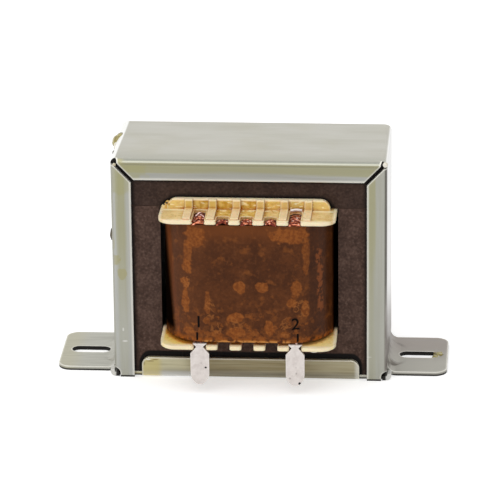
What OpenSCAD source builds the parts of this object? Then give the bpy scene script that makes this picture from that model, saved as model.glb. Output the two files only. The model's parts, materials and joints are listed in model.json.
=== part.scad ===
// Open frame filter choke: a gapped E and I lamination core and a wound bobbin,
// held by a folded channel frame with two slotted feet.
// X runs along the feet, Y from the lug side to the back, Z up from the mounting face.

/* [Core] */
// Lamination module: width of a window, a yoke and an outer leg
lam_module = 9.5; // [8:0.1:12]
// Thickness of the lamination stack, front to back
stack_d = 25; // [20:0.5:34]
// Thickness of the paper in the air gap
gap_t = 0.2; // [0.1:0.05:0.6]

/* [Clamp frame] */
// Sheet thickness of the frame and the base plate
sheet_t = 0.9; // [0.6:0.05:1.2]
// Inside radius of the sharp folds
fold_r = 0.3; // [0.15:0.05:0.5]
// Width of the lips folded over the core's sides
lip_w = 4.35; // [3.5:0.05:6]
// Width of the lips folded over the core's top
top_lip_w = 4.55; // [3.5:0.05:6]
// Open width of the mitres between the lips
mitre_gap = 0.9; // [0.5:0.05:1.4]
// Diameter of the relief hole at the outer end of each mitre
relief_d = 1.6; // [1.2:0.1:2]

/* [Feet] */
// Width of a foot, front to back
foot_w = 20.4; // [14:0.2:21]
// Radius of the corners at the tip of a foot
foot_corner_r = 2.8; // [1:0.1:5]
// Radius of the hollow side of the bend above a foot
foot_bend_r = 1.8; // [0.6:0.1:2]
// Distance from the side wall to the near end of a slot
slot_in = 2.25; // [2:0.05:4]
// Length of a slot, end to end
slot_l = 8.5; // [6:0.5:9]
// Width of a slot
slot_w = 3.5; // [2.5:0.1:4.5]
// Width of the sheet left between a slot and the tip of the foot
tip_web = 2.05; // [1.5:0.05:4]
// Radius of the hollow side of the wider bend in the middle, pressed as a stiffener
dart_bend_r = 3.6; // [2.8:0.1:4]
// Depth that this bend is set into the faces of the wall and the foot
dart_set = 0.15; // [0.1:0.05:0.3]
// Radius of the stiffener's round flanks
dart_r = 9; // [8:0.5:11]
// Distance from the bend corner up the wall to the crest of those flanks
dart_leg = 5; // [4.5:0.1:5.5]
// Height of the gap beside a foot above the bend
notch_rise = 0.2; // [0.1:0.1:1]
// Height of the notch in the lip's outer corner
lip_notch_h = 2; // [1.7:0.1:3]
// Depth of that notch into the lip
notch_in = 1.3; // [1.2:0.05:2]
// Radius of that notch's inner corner
notch_r = 1.1; // [0.2:0.1:1.2]

/* [Base plate] */
// Length of the base plate's lips
base_lip_l = 47; // [36:0.2:48]
// Height of those lips above the mounting face
base_lip_h = 4.6; // [3.5:0.1:6]
// Radius of the lips' upper corners
base_corner_r = 1.8; // [0.5:0.1:2.5]
// Reach of the front ears beyond the side wall
ear_out = 0.9; // [0.2:0.1:1]
// Height of the turned-up ears
ear_h = 1.4; // [1.3:0.1:1.5]
// Play between an ear and the foot, and an ear and the lip
ear_fit = 0.25; // [0.1:0.05:0.4]
// Distance from the lip's face back to the ear
ear_set = 0.4; // [0.1:0.1:1]

/* [Bobbin] */
// Play between the bobbin tube and the centre leg
tube_fit = 0.2; // [0.1:0.05:0.4]
// Wall of the bobbin tube
tube_t = 0.9; // [0.6:0.1:1.4]
// Outer corner radius of the bobbin tube
tube_corner_r = 1; // [0.4:0.1:2]
// Play of the flanges in the window's height
window_fit = 0.1; // [0.05:0.05:0.3]
// Play between the flanges and the outer legs
side_fit = 0.2; // [0.1:0.1:1]
// Thickness of a flange
flange_t = 0.8; // [0.6:0.1:1.4]
// Reach of a flange beyond the core face
flange_reach = 9.5; // [8.5:0.1:12]
// Distance that the edges of the upper flange lean away from the coil
top_rise = 0.25; // [0:0.05:1]
// Distance that the edges of the lower flange lean away from the coil
bottom_rise = 0.7; // [0.4:0.05:1]
// Corner radius of a flange
flange_corner_r = 3.3; // [1:0.1:5]
// Number of wire notches in an edge
notch_n = 5; // [3:2:5]
// Distance between the wire notches
notch_pitch = 5.1; // [4.6:0.1:5.4]
// Width of a wire notch
notch_w = 2.6; // [2.2:0.1:3]
// Depth of a wire notch in the upper flange
notch_d = 3.7; // [2:0.1:5]
// Depth of a wire notch in the lower flange
low_notch_d = 5; // [3:0.1:7]
// Depth of the two end notches that take the lugs
lug_notch_d = 8; // [5.5:0.1:8.2]
// Radius of the corners where a notch opens at the edge
mouth_r = 0.7; // [0.4:0.05:0.9]
// Height of the rim on the upper flange that lies against the yoke
rim_h = 2.3; // [2:0.1:4]
// Thickness of that rim
rim_t = 1; // [0.6:0.1:1.6]
// Distance from the flange's side to the end of the rim
rim_inset = 1.4; // [0.5:0.1:3]
// Radius of the rim's corners
rim_corner_r = 2.1; // [0.5:0.1:2.2]
// Width of the ribs that run over the upper flange and up its rim
rib_w = 1.7; // [1:0.1:2]
// Thickness of those ribs
rib_t = 0.4; // [0.2:0.1:0.8]
// Distance from the flange's edge to the front end of a rib
rib_inset = 0.9; // [0.4:0.1:1.5]
// Play between the rim and the core face
rim_fit = 0.15; // [0.05:0.05:0.4]

/* [Coil] */
// Distance from the flanges' edges to the outside of the tape
wrap_inset = 0.7; // [0.65:0.05:1.5]
// Thickness of the tape layers
wrap_t = 0.4; // [0.2:0.05:0.8]
// Corner radius of the tape
wrap_corner_r = 9.6; // [6:0.1:12]
// Play between the coil and the flanges
coil_fit = 0.1; // [0.05:0.05:0.3]

/* [Lugs] */
// Thickness of a lug
lug_t = 0.6; // [0.4:0.05:0.6]
// Width of a lug's blade
lug_w = 4; // [3:0.1:5]
// Reach of a lug below the flange
lug_drop = 8.6; // [6:0.1:9]
// Width of the neck in the flange notch
neck_w = 1.5; // [1:0.1:2]
// Play between the shoulders of a lug and the flange notch
lug_fit = 0.05; // [0.02:0.01:0.1]
// Length of the sloping shoulders
shoulder_l = 1.5; // [1.4:0.05:1.8]
// Length of the neck between the shoulders and the head
neck_l = 0.15; // [0.1:0.05:0.3]
// Radius of the arcs at the lug's tip
tip_r = 2.8; // [2.6:0.1:6]
// Length of the rounded tip
tip_l = 2.5; // [1.5:0.1:2.5]
// Width of the flared head above the flange
head_w = 2.9; // [2.8:0.1:4]
// Height of that head
head_h = 0.65; // [0.5:0.05:0.7]
// Diameter of the winding's ends
lead_d = 0.5; // [0.3:0.05:0.8]
// Bend radius of the winding's ends
lead_bend_r = 0.8; // [0.5:0.1:1]
// Radius of the solder joints
solder_r = 1; // [0.7:0.1:1.2]

/* [Varnish bead] */
// Reach of the bead from the side wall
bead_out = 1; // [0.6:0.1:1.2]
// Height of the bead down the wall, at its full end
bead_h = 2.8; // [2.6:0.1:5]
// Height of the bead at its thin front end
bead_front_h = 2; // [1.6:0.1:2.5]
// Length of the bead, front to back
bead_l = 6; // [5:0.1:8]
// Place of the bead behind the middle of the wall
bead_y = 2.5; // [-6:0.5:6]

/* [Hidden] */
$fn = 64;

// Overlap of cutting solids
cut = 1;
// Radius of a mouth corner's arc over its reach along the edges
mouth_share = 1.06;
// Facets round the bead, which is a hull and so the only faceted piece
bead_fn = 24;

// Least play that keeps the core's square edges out of the inside of a fold, in whole hundredths
core_fit = round(100 * fold_r * (1 - sqrt(0.5)) + 1) / 100;
fold_out = fold_r + sheet_t;

// Core
core_w = 6 * lam_module;
leg_h = 3 * lam_module;
core_z = sheet_t + core_fit;
window_z = core_z + lam_module;
gap_z = window_z + leg_h;
yoke_z = gap_z + gap_t;
core_top_z = yoke_z + lam_module;

// Frame
frame_w = core_w + 2 * (core_fit + sheet_t);
frame_d = stack_d + 2 * (core_fit + sheet_t);
frame_h = core_top_z + core_fit + sheet_t;
wall_x = frame_w / 2;
front_y = -frame_d / 2;
web_w = frame_d - 2 * fold_out;
mitre_angle = atan(top_lip_w / lip_w);
mitre_x = mitre_gap / 2 / sin(mitre_angle);
mitre_z = mitre_gap / 2 / cos(mitre_angle);
// The relief hole's centre lies this far in, so that the hole breaks through both outer faces
relief_in = 0.4 * relief_d;
slot_pitch = frame_w + 2 * slot_in + slot_l;
foot_l = slot_in + slot_l + tip_web;
foot_out = foot_bend_r + sheet_t;
notch_h = foot_out + notch_rise;

// Bobbin
tube_w = 2 * (lam_module + tube_fit + tube_t);
tube_d = stack_d + 2 * (tube_fit + tube_t);
flange_w = 2 * (2 * lam_module - side_fit);
flange_d = stack_d + 2 * flange_reach;
bobbin_z = window_z + window_fit;
bobbin_h = leg_h - 2 * window_fit;
rim_y = stack_d / 2 + rim_fit;
rim_front_y = -rim_y - rim_t;
end_place = (notch_n - 1) / 2;
lug_x = end_place * notch_pitch;

// Coil
coil_z = bobbin_z + flange_t + coil_fit;
coil_h = bobbin_h - 2 * (flange_t + coil_fit);
wrap_w = flange_w - 2 * wrap_inset;
wrap_d = flange_d - 2 * wrap_inset;
coil_w = wrap_w - 2 * wrap_t;
coil_d = wrap_d - 2 * wrap_t;

// Lugs and leads
lug_y = -flange_d / 2;
lug_tip_z = bobbin_z - lug_drop;
// The shoulders pass the lower corners of the flange notch with the play between them
shoulder_slope = 2 * shoulder_l / (lug_w - neck_w);
blade_top_z = bobbin_z - bottom_rise - shoulder_slope * (lug_w / 2 - notch_w / 2 + lug_fit);
neck_z = blade_top_z + shoulder_l;
lead_z = blade_top_z;
lead_y = lug_y + (lug_t + lug_notch_d) / 2;

// Shapes that repeat

// The part and its mirror image
module both_sides(axis) {
    children();
    mirror(axis) children();
}

// A profile drawn in X and Z, extruded along Y about the middle
module through_y(depth) {
    rotate([90, 0, 0]) linear_extrude(height = depth, center = true) children();
}

// A profile drawn in Y and Z, extruded along X about the middle
module through_x(length) {
    rotate([90, 0, 90]) linear_extrude(height = length, center = true) children();
}

// A profile drawn in Y and Z, extruded along X from the middle to the right
module along_x(length) {
    rotate([90, 0, 90]) linear_extrude(height = length) children();
}

// A quarter of a ring, in the first quadrant
module quarter_ring(inner_r, outer_r) {
    intersection() {
        difference() {
            circle(outer_r);
            circle(inner_r);
        }
        square(outer_r);
    }
}

// A rectangle with round corners, about the origin
module rounded_rect(w, d, r) {
    square([w - 2 * r, d], center = true);
    square([w, d - 2 * r], center = true);
    for (x = [-1, 1], y = [-1, 1])
        translate([x * (w / 2 - r), y * (d / 2 - r)]) circle(r);
}

// A slot with round ends, along X
module slot(length, width) {
    square([length - width, width], center = true);
    for (x = [-1, 1])
        translate([x * (length - width) / 2, 0]) circle(d = width);
}

// Clamp frame

// Right half of the frame's section: top, side wall and foot in one bent strip
module frame_strip() {
    translate([0, frame_h - sheet_t]) square([wall_x - fold_out, sheet_t]);
    translate([wall_x - fold_out, frame_h - fold_out]) quarter_ring(fold_r, fold_out);
    translate([wall_x - sheet_t, foot_out]) square([sheet_t, frame_h - fold_out - foot_out]);
    translate([wall_x + foot_bend_r, foot_out]) rotate(180) quarter_ring(foot_bend_r, foot_out);
    translate([wall_x + foot_bend_r, 0]) square([foot_l - foot_bend_r, sheet_t]);
}

// Half of the top and one side wall, as wide as the web between the folds
module half_web() {
    through_y(web_w) intersection() {
        frame_strip();
        translate([0, notch_h]) square([wall_x, frame_h]);
    }
}

// One foot with its bend, round at the tip
module foot() {
    intersection() {
        through_y(foot_w) frame_strip();
        linear_extrude(height = notch_h)
            rounded_rect(frame_w + 2 * foot_l, foot_w, foot_corner_r);
    }
}

// The lip along half of the top, cut at the mitre
module top_lip() {
    reach = top_lip_w + cut;
    intersection() {
        along_x(wall_x) {
            translate([front_y + fold_out, frame_h - fold_out]) rotate(90)
                quarter_ring(fold_r, fold_out);
            translate([front_y, frame_h - top_lip_w]) square([sheet_t, top_lip_w - fold_out]);
        }
        through_y(2 * frame_d) polygon([
            [0, frame_h + cut],
            [wall_x - mitre_x + cut / tan(mitre_angle), frame_h + cut],
            [wall_x - mitre_x - reach / tan(mitre_angle), frame_h - reach],
            [0, frame_h - reach]
        ]);
    }
}

// The lip along one side wall, cut at the mitre and notched beside the foot
module side_lip() {
    reach = lip_w + cut;
    difference() {
        intersection() {
            linear_extrude(height = frame_h) {
                translate([wall_x - fold_out, front_y + fold_out]) rotate(-90)
                    quarter_ring(fold_r, fold_out);
                translate([wall_x - lip_w, front_y]) square([lip_w - fold_out, sheet_t]);
            }
            through_y(2 * frame_d) polygon([
                [wall_x - reach, 0],
                [wall_x + cut, 0],
                [wall_x + cut, frame_h - mitre_z + cut * tan(mitre_angle)],
                [wall_x - reach, frame_h - mitre_z - reach * tan(mitre_angle)]
            ]);
        }
        through_y(2 * frame_d) foot_notch();
    }
}

// The notch in the lip's outer corner, seen from the front
module foot_notch() {
    left_x = wall_x - notch_in;
    translate([left_x, -cut]) square([notch_in + cut, lip_notch_h - notch_r + cut]);
    translate([left_x + notch_r, -cut]) square([notch_in + cut, lip_notch_h + cut]);
    translate([left_x + notch_r, lip_notch_h - notch_r]) circle(notch_r);
}

// A cylinder across the bend of a foot, along the slope from the wall to the foot
module dart_cylinder(radius) {
    middle = dart_leg / 2 - dart_r / sqrt(2);
    length = 4 * (dart_leg + sheet_t);
    translate([wall_x + middle, 0, sheet_t + middle])
        rotate([0, 135, 0]) cylinder(r = radius, h = length, center = true);
}

// The corner below a stiffener's bend, between its flanks
module dart_body(flank_r, bend_r, extra) {
    leg = dart_bend_r - dart_set;
    reach = sheet_t + leg + extra;
    intersection() {
        dart_cylinder(flank_r);
        difference() {
            translate([wall_x - sheet_t - extra, -dart_r, -extra]) cube([reach, 2 * dart_r, reach]);
            translate([wall_x + leg, 0, sheet_t + leg]) rotate([90, 0, 0])
                cylinder(r = bend_r, h = 3 * dart_r, center = true);
        }
    }
}

module clamp_frame() {
    color("#b9b8a6") both_sides([1, 0, 0]) difference() {
        union() {
            half_web();
            foot();
            both_sides([0, 1, 0]) {
                top_lip();
                side_lip();
            }
            dart_body(dart_r, dart_bend_r, 0);
        }
        dart_body(dart_r - sheet_t, dart_bend_r + sheet_t, cut);
        translate([slot_pitch / 2, 0, -cut])
            linear_extrude(height = notch_h + cut) slot(slot_l, slot_w);
        both_sides([0, 1, 0])
            translate([wall_x - relief_in, front_y + fold_out, frame_h - relief_in])
                rotate([90, 0, 0]) cylinder(d = relief_d, h = fold_out + cut);
    }
}

// Base plate

// The front lip, folded up from the plate
module base_lip() {
    intersection() {
        both_sides([1, 0, 0]) along_x(base_lip_l / 2) {
            translate([front_y + fold_out, fold_out]) rotate(180) quarter_ring(fold_r, fold_out);
            translate([front_y, fold_out]) square([sheet_t, base_lip_h - fold_out]);
        }
        through_y(2 * frame_d) translate([0, base_lip_h / 2 - base_corner_r / 2])
            rounded_rect(base_lip_l, base_lip_h + base_corner_r, base_corner_r);
    }
}

// One ear, turned up in the gap in front of the foot and forward into the notch of the lip
module ear() {
    ear_y = foot_w / 2 + ear_fit;
    bend_x = wall_x + ear_out - fold_out;
    ear_l = frame_d / 2 - ear_set - ear_y;
    forward_x = wall_x - notch_in + ear_fit;
    intersection() {
        translate([0, -ear_y, 0]) rotate([90, 0, 0]) linear_extrude(height = ear_l) {
            square([bend_x, sheet_t]);
            translate([bend_x, fold_out]) rotate(-90) quarter_ring(fold_r, fold_out);
            translate([bend_x + fold_r, fold_out]) square([sheet_t, ear_h - fold_out]);
        }
        linear_extrude(height = 2 * ear_h) {
            translate([0, -web_w / 2]) square([wall_x + ear_out + cut, web_w]);
            translate([forward_x, -frame_d / 2]) square([wall_x + ear_out + cut - forward_x, frame_d]);
        }
    }
}

module base_plate() {
    color("#b3ac80") {
        translate([-core_w / 2, -web_w / 2, 0]) cube([core_w, web_w, sheet_t]);
        both_sides([0, 1, 0]) base_lip();
        both_sides([1, 0, 0]) ear();
    }
}

// Core

module e_laminations() {
    color("#443831") through_y(stack_d) difference() {
        translate([-core_w / 2, core_z]) square([core_w, lam_module + leg_h]);
        both_sides([1, 0, 0])
            translate([lam_module, window_z]) square([lam_module, leg_h + cut]);
    }
}

module i_laminations() {
    color("#443831") through_y(stack_d)
        translate([-core_w / 2, yoke_z]) square([core_w, lam_module]);
}

module air_gap_paper() {
    color("#3a2b24") translate([-core_w / 2, -stack_d / 2, gap_z]) cube([core_w, stack_d, gap_t]);
}

// Bobbin

// The wire notches in the front edge of a flange, the end ones deeper for the lugs
module wire_notches(middle_d) {
    for (place = [-end_place:end_place]) {
        depth = abs(place) == end_place ? lug_notch_d : middle_d;
        translate([place * notch_pitch, -flange_d / 2 - cut + (depth + cut) / 2])
            rotate(90) notch_outline(depth + cut);
        translate([place * notch_pitch, -flange_d / 2]) both_sides([1, 0])
            translate([notch_w / 2, 0]) mouth_corner();
    }
}

// The corner taken off at one side of a notch's mouth
module mouth_corner() {
    difference() {
        translate([-cut, -cut]) square(mouth_r + cut);
        translate([mouth_r, mouth_r]) circle(mouth_share * mouth_r);
    }
}

// One notch, square outside the edge and round at its inner end
module notch_outline(length) {
    square([length - notch_w, notch_w], center = true);
    translate([(length - notch_w) / 2, 0]) circle(d = notch_w);
    translate([-(length - notch_w) / 2 - notch_w / 4, 0]) square([notch_w / 2, notch_w], center = true);
}

// A flange, its inner side at the origin, its front and back parts leaning away from the coil
module flange(rise, middle_d) {
    edge_y = flange_d / 2;
    intersection() {
        linear_extrude(height = rise + flange_t) difference() {
            rounded_rect(flange_w, flange_d, flange_corner_r);
            both_sides([0, 1]) wire_notches(middle_d);
        }
        through_x(flange_w + 2 * cut) polygon([
            [-edge_y, rise], [-rim_y, 0], [rim_y, 0], [edge_y, rise],
            [edge_y, rise + flange_t], [rim_y, flange_t], [-rim_y, flange_t], [-edge_y, rise + flange_t]
        ]);
    }
}

// The rim on the front half of the upper flange, against the core face, round at its upper corners
module rim() {
    rim_w = flange_w - 2 * rim_inset;
    top_z = flange_t + rim_h;
    translate([0, rim_front_y + rim_t / 2, 0]) through_y(rim_t) intersection() {
        rounded_rect(rim_w, 2 * top_z, rim_corner_r);
        translate([-rim_w / 2, flange_t / 2]) square([rim_w, top_z]);
    }
}

// One rib, from near the front edge of the upper flange over the shelf and up the rim
module rib() {
    end_y = rib_inset - flange_d / 2;
    end_rise = top_rise * (1 - rib_inset / (flange_d / 2 - rim_y));
    top_z = flange_t + rim_h;
    through_x(rib_w) polygon([
        [end_y, end_rise],
        [-rim_y, 0],
        [-rim_y, top_z],
        [rim_front_y - rib_t, top_z],
        [rim_front_y - rib_t, flange_t + rib_t],
        [end_y, end_rise + flange_t + rib_t]
    ]);
}

// The rim and the ribs beside each notch, on the front half of the upper flange
module rim_and_ribs() {
    rim();
    for (place = [-notch_n / 2:notch_n / 2])
        translate([place * notch_pitch, 0, 0]) rib();
}

module bobbin() {
    middle_z = bobbin_z + bobbin_h / 2;
    color("#ead9a2") difference() {
        union() {
            translate([0, 0, bobbin_z]) linear_extrude(height = bobbin_h)
                rounded_rect(tube_w, tube_d, tube_corner_r);
            translate([0, 0, bobbin_z + bobbin_h - flange_t]) {
                flange(top_rise, notch_d);
                both_sides([0, 1, 0]) rim_and_ribs();
            }
            translate([0, 0, bobbin_z + flange_t]) mirror([0, 0, 1]) flange(bottom_rise, low_notch_d);
        }
        translate([0, 0, middle_z])
            cube([tube_w - 2 * tube_t, tube_d - 2 * tube_t, bobbin_h + cut], center = true);
    }
}

// Coil

module winding() {
    color("#9c4a26") translate([0, 0, coil_z]) linear_extrude(height = coil_h) difference() {
        rounded_rect(coil_w, coil_d, wrap_corner_r - wrap_t);
        rounded_rect(tube_w, tube_d, tube_corner_r);
    }
}

module coil_wrap() {
    color("#5a3018") translate([0, 0, coil_z]) linear_extrude(height = coil_h) difference() {
        rounded_rect(wrap_w, wrap_d, wrap_corner_r);
        rounded_rect(coil_w, coil_d, wrap_corner_r - wrap_t);
    }
}

// Lugs, leads and solder, drawn at the middle and moved to their notches

module at_finish() {
    translate([-lug_x, 0, 0]) children();
}

module at_start() {
    translate([lug_x, 0, 0]) children();
}

// A lug's outline: rounded tip, blade, shoulders, neck and flared head
module lug_outline() {
    tip_z = lug_tip_z + tip_l;
    intersection() {
        tip_arcs(tip_z);
        translate([-lug_w / 2, lug_tip_z]) square([lug_w, tip_l]);
    }
    translate([-lug_w / 2, tip_z]) square([lug_w, blade_top_z - tip_z]);
    polygon([
        [-lug_w / 2, blade_top_z],
        [lug_w / 2, blade_top_z],
        [neck_w / 2, neck_z],
        [-neck_w / 2, neck_z]
    ]);
    translate([-neck_w / 2, neck_z]) square([neck_w, neck_l]);
    translate([0, neck_z + neck_l]) polygon([
        [-neck_w / 2, 0],
        [neck_w / 2, 0],
        [head_w / 2, head_h],
        [-head_w / 2, head_h]
    ]);
}

// Two crossing arcs that meet the blade's sides, for the tip
module tip_arcs(z) {
    intersection() {
        translate([lug_w / 2 - tip_r, z]) circle(tip_r);
        translate([tip_r - lug_w / 2, z]) circle(tip_r);
    }
}

module lug() {
    color("#d6d3cf") translate([0, lug_y + lug_t / 2, 0]) through_y(lug_t) lug_outline();
}

// A winding end: down from the coil, round a bend and forward to the back of the lug
module lead_path(diameter) {
    translate([0, lead_y, lead_z + lead_bend_r])
        cylinder(d = diameter, h = coil_z - lead_z - lead_bend_r);
    translate([0, lead_y - lead_bend_r, lead_z + lead_bend_r]) rotate([0, 90, 0])
        rotate_extrude(angle = 90) translate([lead_bend_r, 0]) circle(d = diameter);
    translate([0, lug_y + lug_t, lead_z]) rotate([-90, 0, 0])
        cylinder(d = diameter, h = lead_y - lead_bend_r - lug_y - lug_t);
}

module lead() {
    color("#a8562c") lead_path(lead_d);
}

// A domed joint on the back of the lug, round the lead
module solder() {
    color("#c4c4c6") difference() {
        intersection() {
            translate([0, lug_y + lug_t, lead_z]) sphere(solder_r);
            translate([-solder_r, lug_y + lug_t, lead_z - solder_r])
                cube([2 * solder_r, solder_r, 2 * solder_r]);
        }
        lead_path(lead_d);
    }
}

module finish_lug() {
    at_finish() lug();
}

module start_lug() {
    at_start() lug();
}

module finish_lead() {
    at_finish() lead();
}

module start_lead() {
    at_start() lead();
}

module finish_solder() {
    at_finish() solder();
}

module start_solder() {
    at_start() solder();
}

// Varnish bead

// A hardened drop on the bend between the top and the left wall, fuller at the back
module varnish_bead() {
    big_r = bead_h / 2;
    small_r = bead_front_h / 2;
    bead_z = frame_h - big_r;
    half = bead_l / 2;
    color("#94844a") difference() {
        hull() {
            translate([-wall_x - bead_out + big_r, bead_y + half - big_r, bead_z])
                sphere(big_r, $fn = bead_fn);
            translate([-wall_x - bead_out / 2 + small_r, bead_y - half + small_r, bead_z])
                sphere(small_r, $fn = bead_fn);
        }
        translate([0, bead_y, 0]) through_y(2 * bead_l) rounded_rect(frame_w, 2 * frame_h, fold_out);
    }
}

clamp_frame();
base_plate();
e_laminations();
i_laminations();
air_gap_paper();
bobbin();
winding();
coil_wrap();
finish_lug();
start_lug();
finish_lead();
start_lead();
finish_solder();
start_solder();
varnish_bead();
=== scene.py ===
"""Looks of the filter choke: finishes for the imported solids, and small soft details on them.

Everything is in metres, in the frame of the solids: X along the feet, Y to the back, Z up from the floor.
"""
import json
import math
from types import SimpleNamespace

import bpy
import numpy as np
from mathutils import Matrix, Vector


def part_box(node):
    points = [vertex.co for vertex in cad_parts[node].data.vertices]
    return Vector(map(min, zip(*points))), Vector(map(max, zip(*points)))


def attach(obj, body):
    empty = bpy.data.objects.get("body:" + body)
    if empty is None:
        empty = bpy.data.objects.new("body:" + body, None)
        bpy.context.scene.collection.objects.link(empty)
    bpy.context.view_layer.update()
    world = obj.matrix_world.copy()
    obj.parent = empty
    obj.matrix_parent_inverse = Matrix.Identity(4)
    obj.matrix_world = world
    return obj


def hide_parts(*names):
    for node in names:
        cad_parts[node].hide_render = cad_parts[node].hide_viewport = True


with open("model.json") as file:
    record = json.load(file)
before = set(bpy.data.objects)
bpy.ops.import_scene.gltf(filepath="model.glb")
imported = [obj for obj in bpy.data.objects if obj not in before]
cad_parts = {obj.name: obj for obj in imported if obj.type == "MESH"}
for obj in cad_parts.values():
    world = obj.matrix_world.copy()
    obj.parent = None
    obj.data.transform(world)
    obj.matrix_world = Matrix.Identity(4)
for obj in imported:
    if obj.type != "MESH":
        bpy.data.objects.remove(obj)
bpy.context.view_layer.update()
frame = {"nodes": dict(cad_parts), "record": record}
NODES = frame["nodes"]

MM = 0.001

# Places on the solids
core_low, core_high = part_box("e_laminations")
clamp_low, clamp_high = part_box("clamp_frame")
bobbin_low, bobbin_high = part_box("bobbin")
wrap_low, wrap_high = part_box("coil_wrap")
lug_low, lug_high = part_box("start_lug")
SHEET = core_low.y - clamp_low.y
TOP_Z = clamp_high.z
TIP_X = clamp_high.x
WALL_X = core_high.x + SHEET
LUG_X = (lug_low.x + lug_high.x) / 2
NOTCH_PITCH = LUG_X / 2
FLANGE_Y = bobbin_low.y
COIL_TOP_Z = wrap_high.z
TAPE_CORNER = 9.6 * MM
SIDE_LIP = 4.35 * MM
TOP_LIP = 4.55 * MM
SLOT_X = 36 * MM
SLOT_LENGTH = 8.5 * MM
SLOT_WIDTH = 3.5 * MM
BASE_LIP_X = 23.5 * MM
BASE_CORNER = 1.8 * MM
BASE_LIP_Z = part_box("base_plate")[1].z
RIM_Y = -core_low.y + 0.15 * MM

# Each stiffener is a round ridge whose axis slopes across the bend of a foot
STIFFENER_R = 9 * MM
STIFFENER_LEG = 5 * MM
STIFFENER_SHIFT = math.sqrt(2) * STIFFENER_R - STIFFENER_LEG - SHEET


# Colours and fields

def linear(color):
    """A plain colour as the eye reads it, each part from 0 to 255, made linear. A field stays as it is."""
    if isinstance(color, Field):
        return color
    part = np.array(color) / 255
    light = np.where(part <= 0.04045, part / 12.92, ((part + 0.055) / 1.055) ** 2.4)
    return (*light.tolist(), 1.0)


class Field:
    """What a node puts out over a surface. Arithmetic with it adds Math nodes."""

    def __init__(self, tree, socket):
        self.tree = tree
        self.socket = socket

    def __add__(self, other):
        return calc("ADD", self, other)

    __radd__ = __add__

    def __sub__(self, other):
        return calc("SUBTRACT", self, other)

    def __rsub__(self, other):
        return calc("SUBTRACT", other, self)

    def __mul__(self, other):
        return calc("MULTIPLY", self, other)

    def __truediv__(self, other):
        return calc("DIVIDE", self, other)

    def __mod__(self, other):
        return calc("FLOORED_MODULO", self, other)

    def __abs__(self):
        return calc("ABSOLUTE", self)


def feed(node, inputs):
    """Sets a node's sockets, by name or number: a field is linked, and a plain value is set."""
    for key, value in inputs.items():
        if isinstance(value, Field):
            value.tree.links.new(value.socket, node.inputs[key])
        else:
            node.inputs[key].default_value = value


def put(tree, kind, inputs=None, **settings):
    """Adds one node with its settings and inputs."""
    node = tree.nodes.new(kind)
    for name, value in settings.items():
        setattr(node, name, value)
    feed(node, inputs or {})
    return node


def field(tree, kind, inputs=None, output=0, **settings):
    """What one output of a new node gives."""
    return Field(tree, put(tree, kind, inputs, **settings).outputs[output])


def calc(operation, *values, clamp=False):
    """The result of one Math node, in the tree of the first field it takes."""
    tree = next(value.tree for value in values if isinstance(value, Field))
    return field(tree, "ShaderNodeMath", dict(enumerate(values)), operation=operation, use_clamp=clamp)


def highest(first, *others):
    """The greatest of the values."""
    for other in others:
        first = calc("MAXIMUM", first, other)
    return first


def length_of(first, second):
    """The length of a flat vector from its two parts."""
    return calc("SQRT", first * first + second * second)


def fade(value, start, end):
    """0 up to start, 1 from end on, with a smooth step between."""
    inputs = {"Value": value, "From Min": start, "From Max": end}
    return field(value.tree, "ShaderNodeMapRange", inputs, interpolation_type="SMOOTHSTEP")


def ramp(place, start, end):
    """A fade over a length, with its ends in millimetres."""
    return fade(place, start * MM, end * MM)


def blend(mask, under, over, way="MIX"):
    """The colour under, with the colour over laid on it where mask is 1."""
    inputs = {0: mask, 6: linear(under), 7: linear(over)}
    return field(mask.tree, "ShaderNodeMix", inputs, 2, data_type="RGBA", blend_type=way)


def noise(where, size, detail=3, stretch=(1, 1, 1)):
    """Noise round 0.5, in lumps of size millimetres, longer where stretch is smaller."""
    scale = [share / (size * MM) for share in stretch]
    spread = field(where.tree, "ShaderNodeMapping", {"Vector": where, "Scale": scale})
    return field(where.tree, "ShaderNodeTexNoise", {"Vector": spread, "Scale": 1.0, "Detail": detail})


def parts_of(vector):
    """The three parts of a vector."""
    node = put(vector.tree, "ShaderNodeSeparateXYZ", {0: vector})
    return [Field(vector.tree, socket) for socket in node.outputs]


def spot_of(where):
    """Where a point lies, how far out it is from the middle, and which way its surface faces."""
    x, y, z = parts_of(where)
    facing = parts_of(field(where.tree, "ShaderNodeTexCoord", output="Normal"))
    return SimpleNamespace(tree=where.tree, where=where, facing=facing, x=x, y=y, z=z,
                           out=abs(x), depth=abs(y))


# Shared effects

FLOAT, VECTOR, COLOR = "NodeSocketFloat", "NodeSocketVector", "NodeSocketColor"

# Upright steel mirrors the white floor, so its own colour is multiplied by this grey, as painted shade
UPRIGHT_SHADE = (226, 226, 226)


def new_group(name, inputs):
    """A shader node group with named inputs: its tree, and the fields it is given."""
    tree = bpy.data.node_groups.new(name, "ShaderNodeTree")
    for label, kind, value in inputs:
        tree.interface.new_socket(label, in_out="INPUT", socket_type=kind).default_value = value
    sockets = tree.nodes.new("NodeGroupInput").outputs
    return tree, [Field(tree, sockets[label]) for label, kind, value in inputs]


def end_group(tree, label, kind, value):
    """Gives a group its one named output."""
    tree.interface.new_socket(label, in_out="OUTPUT", socket_type=kind)
    put(tree, "NodeGroupOutput", {label: value})
    return tree


def use(here, group, **inputs):
    """The output of a group, placed with its own values in the tree of a field or a spot."""
    return field(here.tree, "ShaderNodeGroup", inputs, node_tree=group)


def make_edge_highlight():
    """High along outer edges, where short rays into the solid come out again: the mask for painted edge
    highlights.
    """
    tree, (reach, gain) = new_group("edge_highlight", [("Reach", FLOAT, 0.3 * MM), ("Gain", FLOAT, 2.0)])
    inner = field(tree, "ShaderNodeAmbientOcclusion", {"Distance": reach}, "AO", inside=True,
                  only_local=True, samples=8)
    return end_group(tree, "Edge", FLOAT, calc("MULTIPLY", 1 - inner, gain, clamp=True))


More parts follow.
